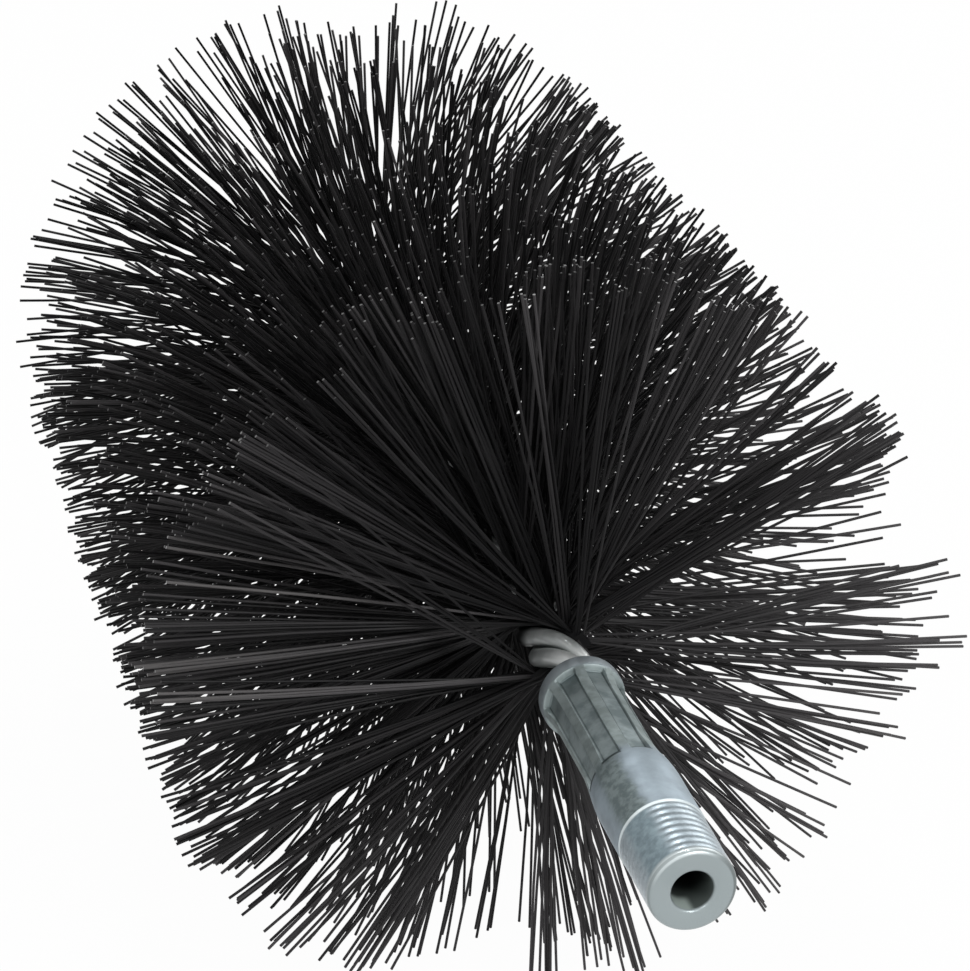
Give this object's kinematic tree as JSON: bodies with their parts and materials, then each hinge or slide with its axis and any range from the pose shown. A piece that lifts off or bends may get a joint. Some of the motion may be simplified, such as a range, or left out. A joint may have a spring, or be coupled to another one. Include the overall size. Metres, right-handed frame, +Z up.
{
  "type": "chimney sweep brush",
  "caption": "Round twisted-wire chimney brush with black plastic bristles on a steel stem, and a crimped steel fitting with a male thread for a rod.",
  "frame": {"origin": "centre of the bounding box's bottom, on the surface that the brush lies on", "axes": "+Z up, +Y along the brush from its threaded end to the nose of its stem"},
  "size_m": [0.135, 0.2369, 0.1329],
  "materials": {
    "zinc_plated_steel": "satin bright zinc plating over turned and crimped steel",
    "galvanised_wire": "bright drawn galvanised wire",
    "black_filament": "extruded black filament with a soft sheen along its length"
  },
  "bodies": {
    "root": {"crimp_fitting": "zinc_plated_steel", "stem_wire_a": "galvanised_wire", "stem_wire_b": "galvanised_wire", "bristle_row_01": "black_filament", "bristle_row_02": "black_filament", "bristle_row_03": "black_filament", "bristle_row_04": "black_filament", "bristle_row_05": "black_filament", "bristle_row_06": "black_filament", "bristle_row_07": "black_filament", "bristle_row_08": "black_filament", "bristle_row_09": "black_filament", "bristle_row_10": "black_filament", "bristle_row_11": "black_filament", "bristle_row_12": "black_filament", "bristle_row_13": "black_filament", "bristle_row_14": "black_filament", "bristle_row_15": "black_filament", "bristle_row_16": "black_filament", "bristle_row_17": "black_filament", "bristle_row_18": "black_filament", "bristle_row_19": "black_filament", "bristle_row_20": "black_filament"}
  },
  "joints": []
}
